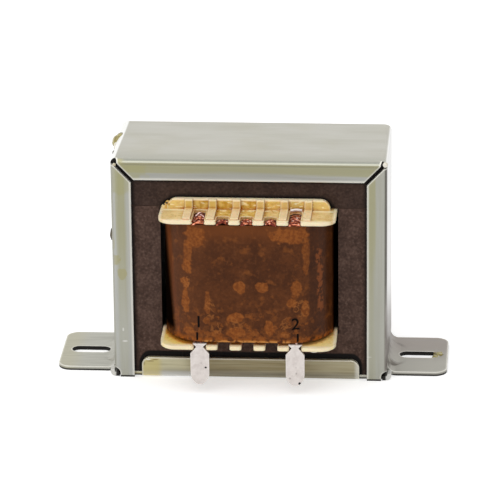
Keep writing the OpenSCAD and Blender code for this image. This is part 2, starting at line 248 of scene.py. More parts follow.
def make_corner_pool_and_shade():
    """High in inner corners, where short rays from the surface are stopped: the mask for pooled varnish
    and for painted shade in corners.
    """
    inputs = [("Reach", FLOAT, 1.5 * MM), ("Gain", FLOAT, 1.6), ("Start", FLOAT, 0.15)]
    tree, (reach, gain, start) = new_group("corner_pool_and_shade", inputs)
    free = field(tree, "ShaderNodeAmbientOcclusion", {"Distance": reach}, "AO", samples=8)
    return end_group(tree, "Pool_And_Shade", FLOAT, calc("MULTIPLY", 1 - free - start, gain, clamp=True))


def make_soft_spot():
    """Mask is 1 inside an egg-shaped space about Center and fades to 0 at its ragged skin."""
    inputs = [("Vector", VECTOR, (0, 0, 0)), ("Center", VECTOR, (0, 0, 0)),
              ("Radius", VECTOR, (MM, MM, MM)), ("Ragged", FLOAT, 0.3), ("Grain", FLOAT, 1000.0)]
    tree, (where, center, radius, ragged, grain) = new_group("soft_spot", inputs)
    off = field(tree, "ShaderNodeVectorMath", {0: where, 1: center}, operation="SUBTRACT")
    share = field(tree, "ShaderNodeVectorMath", {0: off, 1: radius}, operation="DIVIDE")
    reach = field(tree, "ShaderNodeVectorMath", {0: share}, "Value", operation="LENGTH")
    rough = field(tree, "ShaderNodeTexNoise", {"Vector": where, "Scale": grain})
    return end_group(tree, "Mask", FLOAT, fade(reach + (rough - 0.5) * ragged, 1.0, 0.75))


def make_round_edge():
    """Normal is rounded over the edges, as a cut or moulded edge is."""
    tree, (radius,) = new_group("round_edge", [("Radius", FLOAT, 0.2 * MM)])
    rounded = field(tree, "ShaderNodeBevel", {"Radius": radius}, samples=6)
    return end_group(tree, "Normal", VECTOR, rounded)


def upright_share(facing_up):
    """1 on upright faces."""
    return fade(abs(facing_up), 0.6, 0.3)


def make_floor_line():
    """Mask is 1 on upright faces close above the floor, where a painted contact shadow darkens them."""
    inputs = [("Z", FLOAT, 0.0), ("Facing", FLOAT, 0.0), ("Height", FLOAT, 0.5 * MM)]
    tree, (z, facing_up, height) = new_group("floor_line", inputs)
    return end_group(tree, "Mask", FLOAT, fade(z, height, height * 0.5) * upright_share(facing_up))


def make_shaded_upright():
    """Color is darker on upright faces, as painted shade against the bright floor they mirror."""
    inputs = [("Color", COLOR, (1, 1, 1, 1)), ("Facing", FLOAT, 0.0)]
    tree, (color, facing_up) = new_group("shaded_upright", inputs)
    dulled = blend(upright_share(facing_up), color, UPRIGHT_SHADE, "MULTIPLY")
    return end_group(tree, "Color", COLOR, dulled)


edge_highlight = make_edge_highlight()
corner_pool_and_shade = make_corner_pool_and_shade()
soft_spot = make_soft_spot()
round_edge = make_round_edge()
floor_line = make_floor_line()
shaded_upright = make_shaded_upright()


def fresh_tree(owner):
    """The empty node tree of a material or a world."""
    owner.use_nodes = True
    owner.node_tree.nodes.clear()
    return owner.node_tree


def new_material(name, **constants):
    """A material whose Principled shader takes the constants on its own sockets, and its coordinates."""
    material = bpy.data.materials.new(name)
    tree = fresh_tree(material)
    shader = put(tree, "ShaderNodeBsdfPrincipled")
    feed(shader, {label.replace("_", " "): value for label, value in constants.items()})
    put(tree, "ShaderNodeOutputMaterial", {"Surface": Field(tree, shader.outputs[0])})
    return material, field(tree, "ShaderNodeTexCoord", output="Object")


def shader_of(material):
    """The Principled shader of a material."""
    return next(node for node in material.node_tree.nodes if node.type == "BSDF_PRINCIPLED")


def finished(material, color, roughness, height, relief, edge):
    """Joins a finish to a material. Its greatest relief and the radius of its edges are in millimetres."""
    rounded = use(color, round_edge, Radius=edge * MM)
    inputs = {"Strength": 1.0, "Distance": relief * MM, "Height": height, "Normal": rounded}
    normal = field(color.tree, "ShaderNodeBump", inputs)
    feed(shader_of(material), {"Base Color": color, "Roughness": roughness, "Normal": normal})
    return material


def add_spots(where, color, spots, over, ragged, grain):
    """Lays soft spots of the colour over on another colour. A spot is (x, z, half width, half height,
    strength), in millimetres, and reaches through the front half of the piece."""
    for x, z, wide, high, strength in spots:
        mask = use(where, soft_spot, Vector=where, Center=(x * MM, FLANGE_Y, z * MM),
                   Radius=(wide * MM, -FLANGE_Y, high * MM), Ragged=ragged, Grain=grain)
        color = blend(mask * strength, color, over)
    return color


# Finishes

def lip_share(at):
    """1 on faces turned to the front or the back."""
    return fade(abs(at.facing[1]), 0.6, 0.95)


def right_half(at):
    """0 left of the middle and 1 right of it."""
    return ramp(at.x, -2, 2)


def wall_level(at):
    """Height on a side wall, measured from lines that fall to the back."""
    fall = 0.37
    return at.z + at.y * fall


def frame_top(at, cloud, patch, brush):
    """Top and walls: cloudy zinc, brushed along X, with varnish in patches. The right wall carries a
    bright painted reflection.
    """
    color = blend(fade(cloud, 0.3, 0.75), (191, 189, 179), (184, 182, 170))
    color = blend(fade(brush, 0.5, 0.75) * 0.25, color, (204, 204, 198))
    color = blend(fade(patch, 0.5, 0.75) * 0.25, color, (178, 173, 146))
    near_front = fade(at.y, clamp_low.y + 6 * MM, clamp_low.y + 1.4 * MM)
    color = blend(near_front * 0.8, color, (174, 173, 160))
    # Painted bright reflection on the upper right wall
    right_wall_sheen = fade(at.facing[0], 0.5, 0.9) * ramp(wall_level(at), 6, 12)
    return blend(right_wall_sheen, color, (255, 255, 253))


def frame_lips(at, color):
    """Lips: streaks, a yellow band, smears and scratches, a painted highlight along the inner edges, and a
    painted dark reflection on the right edge.
    """
    from_wall = WALL_X - at.out
    from_top = TOP_Z - at.z
    inward = calc("MINIMUM", from_wall, from_top)
    side_share = from_wall / SIDE_LIP
    top_share = from_top / TOP_LIP
    on_side_lip = fade(side_share - top_share, 0.05, -0.05)
    to_right = right_half(at)
    along = field(at.tree, "ShaderNodeCombineXYZ", {0: inward, 1: at.x + at.z, 2: at.y})
    streak = noise(along, 1.1, stretch=(1, 0.04, 1))
    streaked = fade(streak, 0.35, 0.7)
    top_lip = blend(streaked, (182, 183, 178), (170, 170, 162))
    side_lip = blend(streaked, (194, 195, 190), (182, 182, 174))
    side_lip = blend(to_right * 0.5, side_lip, (174, 173, 156))
    lip = blend(on_side_lip, top_lip, side_lip)

    band_at = 1.9 * MM + on_side_lip * (0.4 * MM + to_right * (1.3 * MM))
    from_band = abs(inward - band_at) + (streak - 0.5) * (2.4 * MM)
    band = ramp(from_band, 1.5, 0.5) * (0.25 + ramp(at.z, 10, 36) * 0.5)
    lip = blend(band, lip, (168, 164, 122))
    corner = use(at, soft_spot, Vector=at.where, Center=(-WALL_X, clamp_low.y, TOP_Z),
                 Radius=(9 * MM, 9 * MM, 9 * MM), Ragged=0.9, Grain=400)
    lip = blend(corner * 0.5, lip, (172, 168, 118))
    # Painted highlight along the lips' inner edges
    bare_and_sheen = fade(calc("MINIMUM", side_share, top_share), 0.86, 0.93)
    lip = blend(bare_and_sheen * 0.5, lip, (240, 238, 228))
    smears = [(-29.8, 30.4, 1.1, 2.4, 0.55), (-28.8, 26.8, 1.6, 1.5, 0.55), (-27.3, 23.8, 1.2, 1.5, 0.5)]
    lip = add_spots(at.where, lip, smears, (172, 164, 104), ragged=1.2, grain=700)
    scratches = [(-27.4, 11, 0.22, 0.5, 0.6), (-27, 8.3, 0.8, 0.24, 0.6), (25.6, 5.5, 0.8, 0.14, 0.35)]
    lip = add_spots(at.where, lip, scratches, (246, 245, 240), ragged=0.6, grain=2500)
    color = blend(lip_share(at), color, lip)

    # Painted dark reflection along the right lip's outer bend
    line = ramp(abs(from_wall - 0.3 * MM), 0.42, 0.12) * fade(abs(at.facing[1]), 0.15, 0.4)
    line = line * to_right * on_side_lip * (0.5 + ramp(at.z, 10, 24) * 0.4)
    return blend(line, color, (84, 80, 70))


def frame_bends(at, color):
    """Bends round the top, with painted reflections: dark in front with a painted highlight on its crest,
    a white painted highlight at the left and grey behind.
    """
    sideways, backward, upward = at.facing
    top_bend = ramp(TOP_Z - at.z, 1.3, 1.1)
    # Painted dark reflection on the front bend
    front_bend = fade(backward, -0.15, -0.45) * top_bend
    color = blend(front_bend * 0.95, color, (136, 137, 128))
    low_bend = fade(backward, -0.85, -0.95) * top_bend
    color = blend(low_bend * 0.8, color, (158, 153, 116))
    # Painted highlight along the front bend's crest
    crest = fade(backward, -0.66, -0.78) * fade(backward, -0.95, -0.86) * top_bend * 0.9
    crest = crest * fade(at.x, 1.4 * MM - WALL_X, 3 * MM - WALL_X)
    color = blend(crest, color, (190, 190, 173))
    coated = fade(at.x, 3.4 * MM - WALL_X, 1.8 * MM - WALL_X) * front_bend
    color = blend(coated * 0.7, color, (174, 168, 122))
    # Painted white highlight on the left bend and beside it
    spread = fade(at.y, clamp_low.y, clamp_high.y) * (0.6 * MM)
    from_left = at.x + (WALL_X - 0.9 * MM) - spread
    beside = ramp(from_left, 0.3, -0.1) * fade(upward, 0.5, 0.8)
    left_bend = highest(fade(sideways, -0.15, -0.6) * top_bend, beside)
    color = blend(left_bend, color, (250, 250, 247))
    # Painted grey reflection on the back bend
    back_bend = fade(backward, 0.1, 0.5) * top_bend
    return blend(back_bend * 0.7, color, (158, 160, 157))


def frame_feet(at, color, brush):
    """Feet: streaks down the right wall that darken towards the foot, partly painted dark reflection, a
    brown right foot that is partly painted shade, a grey left foot, and painted shade in the creases by
    the stiffeners.
    """
    to_right = right_half(at)
    run = noise(at.where, 1, stretch=(1, 1, 0.12))
    # The darkening down the right wall is partly painted dark reflection
    low_wall = ramp(wall_level(at), 19, 7) * fade(at.facing[0], 0.4, 0.8)
    streaked = blend(fade(run, 0.36, 0.64), (134, 127, 121), (174, 169, 163))
    color = blend(low_wall, color, streaked)
    # The right foot is darker partly as painted shade
    brown = blend(ramp(at.y, 6, -6), (148, 140, 132), (164, 161, 151))
    grey = blend(fade(brush, 0.4, 0.7), (182, 181, 170), (168, 167, 156))
    on_foot = fade(at.out, WALL_X - 0.3 * MM, WALL_X + MM) * ramp(at.z, 8, 3)
    color = blend(on_foot, color, blend(to_right, grey, brown))
    beyond = at.out - WALL_X
    # Painted shade along the creases beside the stiffeners
    slope = (beyond + at.z + STIFFENER_SHIFT) * math.sqrt(0.5)
    from_flank = abs(length_of(slope, at.y) - STIFFENER_R)
    crease = ramp(from_flank, 0.6, 0.15) * on_foot * ramp(beyond, 4.2, 1.5)
    color = blend(crease * (0.2 + to_right * 0.45), color, (88, 80, 74))
    left_tip = fade(at.x, 6 * MM - TIP_X, 2 * MM - TIP_X)
    return blend(left_tip * 0.4, color, (184, 177, 142))


def frame_shade(at):
    """1 where shade is painted on the frame: inside the slots, a contact shadow along the floor and in the
    mitres' relief holes.
    """
    in_slot = fade(abs(at.out - SLOT_X), 0.53 * SLOT_LENGTH, 0.5 * SLOT_LENGTH)
    in_slot = in_slot * fade(at.depth, 0.54 * SLOT_WIDTH, 0.51 * SLOT_WIDTH)
    in_slot = in_slot * upright_share(at.facing[2])
    line = use(at, floor_line, Z=at.z, Facing=at.facing[2], Height=0.5 * MM)
    relief = ramp(highest(WALL_X - at.out, TOP_Z - at.z), 1.7, 1.4)
    sunk = fade(at.depth, -clamp_low.y - 0.3 * MM, -clamp_low.y - 0.6 * MM)
    return highest(in_slot, line, relief * sunk * lip_share(at))


def make_frame_steel():
    """Zinc plate under thin varnish, with a yellow band along each lip, painted edge highlights and
    painted shade.
    """
    material, where = new_material("frame_steel", Metallic=0.7)
    at = spot_of(where)
    cloud = noise(where, 4, detail=4, stretch=(0.3, 1, 1))
    patch = noise(where, 14)
    brush = noise(where, 0.7, stretch=(0.08, 1, 1))
    grain = noise(where, 0.35, detail=2)
    color = frame_top(at, cloud, patch, brush)
    color = frame_lips(at, color)
    color = frame_bends(at, color)
    color = frame_feet(at, color, brush)
    # Painted highlights along the edges
    edge = use(where, edge_highlight, Reach=0.4 * MM, Gain=2)
    color = blend(edge, color, (238, 236, 226))
    # Painted shade on upright faces
    color = use(at, shaded_upright, Color=color, Facing=at.facing[2])
    # Painted shade in the slots and relief holes, and a painted contact shadow along the floor
    color = blend(frame_shade(at), color, (26, 23, 20))
    return finished(material, color, 0.32 + cloud * 0.16, grain * 0.15 + patch, relief=0.12, edge=0.25)


def make_base_steel():
    """The same plate with more varnish: pale at the left, with a yellow end, and olive brown elsewhere.
    Painted highlights lie on its edges, its right end and one spot, a painted reflection low at the left,
    and painted shade on upright faces, under the wall and along the floor.
    """
    material, where = new_material("base_steel", Metallic=0.6)
    at = spot_of(where)
    run = noise(where, 5, stretch=(0.25, 1, 1))
    brush = noise(where, 0.45, stretch=(0.03, 1, 1))
    shift = at.x + (run - 0.5) * (12 * MM)
    color = blend(ramp(shift, -15, -10), (212, 206, 172), (160, 147, 110))
    color = blend(ramp(shift, 12, 20), color, (180, 170, 138))
    low = ramp(at.z + run * (1.2 * MM), 3.2, 1.6)
    color = blend(low * 0.75, color, (150, 145, 130))
    color = blend(fade(brush, 0.45, 0.7) * 0.4, color, (194, 187, 160))
    color = blend(fade(brush, 0.5, 0.3) * 0.35, color, (118, 106, 74))
    # Painted highlight on the right end
    right_end = fade(at.x, BASE_LIP_X - 1.3 * MM, BASE_LIP_X - 0.4 * MM)
    color = blend(right_end * 0.7, color, (226, 224, 214))
    # Painted reflection of the floor low on the left
    bare_and_sheen = ramp(shift, -9, -14) * ramp(at.z, 1.9, 0.9)
    color = blend(bare_and_sheen * 0.85, color, (222, 222, 218))
    left_end = fade(at.x, 4.8 * MM - BASE_LIP_X, 3.2 * MM - BASE_LIP_X)
    color = blend(left_end * 0.7, color, (214, 198, 128))
    rings = [(-21.8, 3.75, 1.1, 0.16, 0.7), (-20.6, 4.1, 0.8, 0.16, 0.7), (-23, 3.2, 0.2, 0.6, 0.5)]
    color = add_spots(where, color, rings, (126, 100, 44), ragged=0.8, grain=1500)
    # Painted highlights along the edges
    edge = use(where, edge_highlight, Reach=0.45 * MM, Gain=2.2)
    color = blend(edge, color, (234, 229, 212))
    # A painted highlight spot
    shine = [(-22.1, 4.1, 0.6, 0.2, 0.9)]
    color = add_spots(where, color, shine, (255, 252, 240), ragged=0.5, grain=1500)
    # Painted shade on upright faces
    color = use(at, shaded_upright, Color=color, Facing=at.facing[2])

    # The ears beside the feet are bare, with painted shade where they pass under the wall
    ear = fade(at.out, BASE_LIP_X + 3 * MM, BASE_LIP_X + 4.2 * MM)
    color = blend(ear * 0.85, color, (200, 200, 197))
    shaded = ear * fade(at.out, WALL_X - 0.1 * MM, WALL_X - 0.45 * MM)
    color = blend(shaded, color, (30, 28, 25))
    # Painted contact shadow along the floor
    line = use(at, floor_line, Z=at.z, Facing=at.facing[2], Height=0.45 * MM)
    color = blend(line * (1 - ear), color, (46, 43, 35))
    return finished(material, color, 0.28 + run * 0.22, brush * 0.2 + run, relief=0.1, edge=0.3)


def make_core_steel():
    """Lamination faces under dark brown varnish, darkest by the base lip, with painted shade on the top
    yoke and in inner corners. The sides show the sheets.
    """
    material, where = new_material("core_steel", Specular_IOR_Level=0.12)
    at = spot_of(where)
    cloud = noise(where, 2.6, detail=4)
    fleck = noise(where, 0.55)
    color = blend(fade(cloud, 0.32, 0.7), (70, 51, 43), (88, 67, 58))
    color = blend(fade(fleck, 0.5, 0.72) * 0.5, color, (112, 90, 80))
    color = blend(fade(fleck, 0.5, 0.3) * 0.5, color, (44, 32, 27))
    # Painted shade of the top lip on the yoke
    yoke_shade = fade(at.z, core_high.z - 0.1 * MM, core_high.z + 0.3 * MM)
    color = blend(yoke_shade * 0.55, color, (36, 26, 22))
    half_sheet = 0.25 * MM
    on_side = fade(abs(at.facing[1]), 0.5, 0.2)
    joint = ramp(calc("PINGPONG", at.y, half_sheet), 0.1, 0.02) * on_side
    color = blend(joint * 0.7, color, (20, 16, 14))

    # The dark round the base lip is narrower beyond the lip's ends, where distance counts 1.25 times
    over = highest(at.z - (BASE_LIP_Z - BASE_CORNER), 0)
    beyond = highest(at.out - (BASE_LIP_X - BASE_CORNER), 0) * 1.25
    by_lip = fade(length_of(over, beyond), BASE_CORNER + 1.5 * MM, BASE_CORNER + MM)
    color = blend(by_lip, color, (8, 6, 6))
    # Painted shade in inner corners
    pool_and_shade = use(where, corner_pool_and_shade, Reach=1.3 * MM, Gain=4, Start=0.1)
    color = blend(pool_and_shade, color, (10, 7, 6))
    return finished(material, color, 0.5 + cloud * 0.2, cloud + fleck * 0.4 - joint, relief=0.12, edge=0.1)


def make_gap_paper():
    """Thin paper with long fibres, soaked dark brown with varnish."""
    material, where = new_material("gap_paper", Specular_IOR_Level=0.12)
    fibre = noise(where, 0.8, detail=4, stretch=(0.2, 1, 1))
    color = blend(fade(fibre, 0.3, 0.7), (44, 31, 25), (60, 45, 37))
    return finished(material, color, 0.7 + fibre * 0.2, fibre, relief=0.05, edge=0.05)


def bobbin_zones(at):
    """Masks of the bobbin's zones: above and below the coil, the ribbed width, its ribs and the spaces
    between them, the part left of the middle, the rim's face and the shelf before it."""
    above = fade(at.z, COIL_TOP_Z + 0.6 * MM, COIL_TOP_Z + MM)
    below = fade(at.z, bobbin_low.z + 4 * MM, bobbin_low.z + 2 * MM)
    ribbed = fade(at.out, 2.7 * NOTCH_PITCH, 2.68 * NOTCH_PITCH)
    on_rib = fade(calc("PINGPONG", at.x, NOTCH_PITCH / 2), 0.31 * NOTCH_PITCH, 0.34 * NOTCH_PITCH)
    on_rib = on_rib * ribbed * above
    between = calc("SUBTRACT", ribbed, on_rib, clamp=True) * above
    left = ramp(at.x, 6.5, 0.5)
    rim_face = fade(abs(at.facing[1]), 0.5, 0.8) * above
    rim_face = rim_face * fade(at.depth, RIM_Y + 1.3 * MM, RIM_Y + 1.15 * MM)
    shelf = between * fade(at.depth, -FLANGE_Y - 3 * MM, -FLANGE_Y - 3.8 * MM) * (0.3 + left * 0.65)
    return SimpleNamespace(above=above, below=below, ribbed=ribbed, on_rib=on_rib, between=between,
                           left=left, rim_face=rim_face, shelf=shelf)


def bobbin_top(at, zone, color, drop):
    """Upper flange: amber on the rim and on the shelf before it, painted shadow in brown beside the ribs,
    and pale ribs.
    """
    uneven = fade(drop, 0.35, 0.65)
    amber = blend(uneven, (202, 152, 36), (230, 192, 84))
    thin = highest(1 - zone.ribbed, (1 - zone.left) * 0.85)
    amber = blend(thin * 0.75, amber, (240, 212, 138))
    color = blend(zone.rim_face, color, amber)
    color = blend(zone.shelf, color, blend(uneven, (200, 152, 52), (232, 196, 108)))
    # Painted shadow beside each rib
    place = (at.x + NOTCH_PITCH / 2) % NOTCH_PITCH
    beside = fade(place, 0.34 * NOTCH_PITCH, 0.2 * NOTCH_PITCH) * zone.between
    color = blend(beside * 0.5, color, (158, 104, 28))
    rib_top = zone.on_rib * fade(at.depth, RIM_Y + 3 * MM, RIM_Y + 1.3 * MM)
    color = blend((zone.on_rib - rib_top) * 0.7, color, (246, 219, 178))
    rib_amber = 0.3 + ramp(at.x, -4, -8) * 0.6
    return blend(rib_top * rib_amber, color, (218, 184, 92))


def bobbin_bottom(at, zone, color, drop):
    """Lower flange: pale nylon, lightened with painted light where the coil shades it, under varnish that
    has run out from the tape, from dark brown to yellow.
    """
    # Painted light on the lower flange, where the coil shades it
    color = blend(zone.below * 0.9, color, (255, 232, 164))
    past_x = highest(at.out - (wrap_high.x - TAPE_CORNER), 0)
    past_y = highest(at.depth - (wrap_high.y - TAPE_CORNER), 0)
    from_tape = length_of(past_x, past_y) - TAPE_CORNER + (drop - 0.5) * (0.8 * MM)
    run_out = zone.below * (0.55 + ramp(at.x, 6, -6) * 0.45)
    yellow = ramp(from_tape, 2.8, 1.3) * run_out
    color = blend(yellow * 0.8, color, (246, 208, 100))
    brown = ramp(from_tape, 1.1, 0.3) * run_out
    color = blend(brown * 0.9, color, (204, 130, 40))
    darkest = ramp(from_tape, 0.45, 0.05) * zone.below
    return blend(darkest * 0.5, color, (130, 66, 18))


def bobbin_glints(at, zone, color, drop):
    """A painted highlight along the rim's root, and painted glints where the varnish stands in drops."""
    # Painted highlight along the root of the rim
    from_root = abs(at.depth - (RIM_Y + 1.9 * MM))
    root = ramp(from_root, 0.6, 0.3) * zone.above * (1 - zone.on_rib)
    root = root * highest(fade(drop, 0.45, 0.6), 1 - zone.ribbed)
    color = blend(root * 0.85, color, (255, 244, 208))
    # Painted glints
    shine = noise(at.where, 0.9, detail=2, stretch=(0.6, 1, 1.5))
    glint = fade(shine, 0.57, 0.65) * highest(zone.rim_face, root, zone.shelf)
    return blend(glint * 0.75, color, (255, 240, 190))


def bobbin_edges(at, zone, color):
    """Nearly white painted highlights on the edges and front border, and painted shade in dark amber on
    the ribs' sides and in close corners.
    """
    # Painted highlights along the edges, the front border, the sides and the rim's crown
    edge = use(at, edge_highlight, Reach=0.38 * MM, Gain=1.3)
    border = fade(at.depth, -FLANGE_Y - 1.6 * MM, -FLANGE_Y - 0.4 * MM)
    side = fade(at.out, bobbin_high.x - 0.9 * MM, bobbin_high.x - 0.3 * MM)
    crown = fade(at.z, bobbin_high.z - 0.55 * MM, bobbin_high.z - 0.25 * MM)
    color = blend(highest(edge, border, side, crown), color, (255, 236, 197))
    # Painted shade on the ribs' sides and in close corners
    close = use(at, corner_pool_and_shade, Reach=0.8 * MM, Gain=3, Start=0.3)
    rib_side = highest(close, fade(abs(at.facing[0]), 0.6, 0.9)) * zone.above
    rib_side = rib_side * fade(at.out, 3.0 * NOTCH_PITCH, 2.8 * NOTCH_PITCH) * (0.5 + zone.left * 0.4)
    return blend(rib_side, color, (170, 88, 10))


def make_bobbin_plastic():
    """Cream nylon. Amber varnish has pooled in its corners, and its rounded edges carry nearly white
    painted highlights. Painted shade darkens it inside the core's window.
    """
    material, where = new_material(
        "bobbin_plastic", Specular_IOR_Level=0.3, Subsurface_Weight=0.1, Subsurface_Scale=MM)
    at = spot_of(where)
    zone = bobbin_zones(at)
    cloud = noise(where, 2.2)
    drop = noise(where, 0.9, detail=2)
    fleck = noise(where, 0.4, detail=2)
    color = blend(fade(cloud, 0.35, 0.68), (240, 211, 152), (222, 187, 119))
    color = blend(fade(fleck, 0.52, 0.7) * 0.4, color, (200, 160, 88))
    color = bobbin_top(at, zone, color, drop)
    pool_and_shade = use(where, corner_pool_and_shade, Reach=1.7 * MM, Gain=2, Start=0.25)
    color = blend(pool_and_shade * fade(drop, 0.2, 0.6), color, (192, 134, 40))
    color = bobbin_bottom(at, zone, color, drop)
    color = bobbin_glints(at, zone, color, drop)
    color = bobbin_edges(at, zone, color)
    # Painted shade inside the core's window
    in_window = fade(at.depth, -core_low.y, -core_low.y - 2 * MM) * zone.below
    color = blend(in_window, color, (14, 9, 6))
    rough = in_window * 0.6 + (0.2 + drop * 0.2)
    return finished(material, color, rough, cloud + (drop + fleck) * 0.5, relief=0.2, edge=0.35)


def make_copper():
    """Enamelled copper wire, from dark red to pale copper along its length, with painted highlights and
    painted shade in its corners.
    """
    material, where = new_material("copper", Metallic=0.7)
    turn = noise(where, 0.7)
    color = blend(fade(turn, 0.42, 0.62), (100, 30, 18), (224, 132, 92))
    # Painted highlights
    color = blend(fade(turn, 0.58, 0.66), color, (255, 222, 208))
    # Painted shade in corners
    pool_and_shade = use(where, corner_pool_and_shade, Reach=0.8 * MM, Gain=1.6, Start=0.3)
    color = blend(pool_and_shade, color, (52, 14, 9))
    return finished(material, color, 0.2 + turn * 0.2, turn, relief=0.05, edge=0.05)


def make_pale_copper():
    """The scraped ends of the winding, pinkish and half tinned."""
    material, where = new_material("pale_copper", Metallic=0.75)
    bare_and_sheen = noise(where, 0.8)
    color = blend(fade(bare_and_sheen, 0.36, 0.64), (150, 84, 72), (226, 196, 190))
    return finished(material, color, 0.16 + bare_and_sheen * 0.2, bare_and_sheen, relief=0.05, edge=0.05)


def tape_ground(at, cloud, speck, bubble):
    """Brown tape, paler at the left and in the middle of the top, with faint varnish mostly low down."""
    color = blend(fade(cloud, 0.3, 0.7), (70, 36, 15), (89, 48, 21))
    color = blend(fade(speck, 0.5, 0.68) * 0.3, color, (112, 66, 36))
    color = blend(fade(speck, 0.46, 0.3) * 0.4, color, (56, 28, 12))
    color = blend(ramp(at.x, -4, -14) * 0.35, color, (100, 58, 32))
    high = fade(at.z, wrap_high.z - 5 * MM, wrap_high.z - MM) * ramp(at.out, 14, 10)
    color = blend(high * 0.75, color, (110, 59, 24))
    low = fade(at.z, wrap_low.z + 8 * MM, wrap_low.z + MM)
    creep = noise(at.where, 2.4, detail=4) + low * 0.07 + (bubble - 0.5) * 0.3
    return blend(fade(creep, 0.56, 0.72) * 0.4, color, (140, 80, 34))


def tape_blotches(at, color, speck):
    """Orange brown blotches of varnish under the tape, some with pale curls at their edges."""
    blotches = [(-11, 35.2, 2.6, 2.8, 0.65), (-12.6, 31, 1, 3.6, 0.55), (-12.8, 28.2, 1.2, 1.7, 0.65),
                (-13.2, 24.6, 1, 1.4, 0.7), (-13.3, 20.4, 1, 2.8, 0.7), (9.2, 35.8, 4.6, 2, 0.7),
                (12.6, 31.5, 0.9, 5, 0.5), (-1.6, 24, 1.5, 1.5, 0.7), (3.1, 24.1, 1.5, 1.4, 0.65),
                (-2.6, 17, 2.1, 1.3, 0.75), (-2.4, 13.6, 2.2, 1.4, 0.7), (4.6, 14.7, 1.1, 1.9, 0.7),
                (10.4, 23.5, 1.3, 2.2, 0.6), (12.4, 19.4, 0.9, 2.4, 0.65), (9.4, 20.6, 1.3, 1.2, 0.6),
                (-8.4, 20.4, 0.8, 2.8, 0.5), (-6.4, 13.2, 1.4, 1.1, 0.6), (-12.6, 13.6, 1.6, 1, 0.5),
                (0.6, 13.2, 1, 0.8, 0.5), (8.2, 13.4, 1.2, 1, 0.5), (-8.6, 16.4, 0.8, 1, 0.5)]
    rust = blend(fade(speck, 0.36, 0.62), (128, 68, 25), (154, 88, 36))
    color = add_spots(at.where, color, blotches, rust, ragged=1.4, grain=650)
    curl = noise(at.where, 1.6)
    curls = fade(curl, 0.56, 0.62) * ramp(at.z, 21, 16)
    color = blend(curls * 0.5, color, rust)
    outlined = blend(fade(abs(curl - 0.5), 0.06, 0.01), color, (160, 98, 48))
    curled = [(-8, 19, 1.3, 2.8, 0.5), (11.6, 19.4, 1.9, 2.4, 0.5), (8.3, 15.2, 1.4, 2.6, 0.45),
              (-13, 24.8, 1, 1.6, 0.5), (-6.5, 14.6, 1.6, 1.6, 0.5), (-2.5, 16, 2.3, 1.6, 0.4)]
    return add_spots(at.where, color, curled, outlined, ragged=0.8, grain=650)


def tape_lines(at, leaning, color, bubble):
    """A streaked painted sheen on the left round, painted shade on the right part with a wandering line at
    the right, and a stained bottom.
    """
    stripe = noise(at.where, 1.3, detail=2, stretch=(1, 1, 0.06))
    # Painted streaked sheen on the tape's left round
    left_round_sheen = ramp(abs(leaning + 16.2 * MM), 0.7, 0.2) * fade(stripe, 0.4, 0.6)
    color = blend(left_round_sheen * 0.4, color, (128, 66, 32))
    # Painted shade on the right part of the tape
    right_shade = ramp(at.x, 12.9, 13.5)
    color = blend(right_shade * 0.45, color, (52, 27, 14))
    bend = (noise(at.where, 3, detail=2, stretch=(0.1, 0.1, 1)) - 0.5) * (3 * MM)
    line = ramp(abs(at.x - (15.6 * MM + bend)), 0.8, 0.3) * ramp(at.z, 34, 31)
    line = line * ramp(at.z, 17, 19) * fade(bubble, 0.44, 0.54)
    color = blend(line * 0.75, color, (136, 74, 36))
    bottom = fade(at.z, wrap_low.z + 1.5 * MM, wrap_low.z + 0.3 * MM)
    return blend(bottom * fade(bubble, 0.36, 0.6), color, (150, 82, 28))


def make_tape():
    """Brown tape with orange brown blotches, where varnish has crept under it."""
    material, where = new_material("tape", Coat_Roughness=0.3, Specular_IOR_Level=0.0)
    at = spot_of(where)
    cloud = noise(where, 3.4)
    bubble = noise(where, 1)
    speck = noise(where, 0.6, detail=4)
    fleck = noise(where, 0.5)
    middle_z, lean = 27 * MM, 0.09
    leaning = at.x + (at.z - middle_z) * lean
    color = tape_ground(at, cloud, speck, bubble)
    color = tape_blotches(at, color, speck)
    color = tape_lines(at, leaning, color, bubble)

    # Painted shade inside the window, at the leaning left edge and in inner corners, then the pale line
    # that lies on the lower flange
    left_edge = ramp(leaning, -16.3, -17.5) * ramp(at.z, 11, 14)
    in_window = highest(fade(abs(at.facing[0]), 0.95, 1.0), left_edge)
    pool_and_shade = use(where, corner_pool_and_shade, Reach=2.5 * MM, Gain=1.8, Start=0.35)
    pool_and_shade = pool_and_shade * (0.8 - ramp(at.x, 10, 14) * 0.5)
    color = blend(highest(in_window, pool_and_shade), color, (10, 4, 2))
    lowest = fade(at.z, wrap_low.z + 0.6 * MM, wrap_low.z + 0.25 * MM) * 0.6
    lowest = lowest * ramp(at.out, 10, 8.5) * fade(bubble, 0.4, 0.54)
    color = blend(lowest, color, (214, 150, 80))
    feed(shader_of(material), {"Coat Weight": (1 - in_window) * 0.2})
    return finished(material, color, 0.4 + fleck * 0.2, cloud * 0.8 + bubble * 0.3, relief=0.25, edge=0.15)


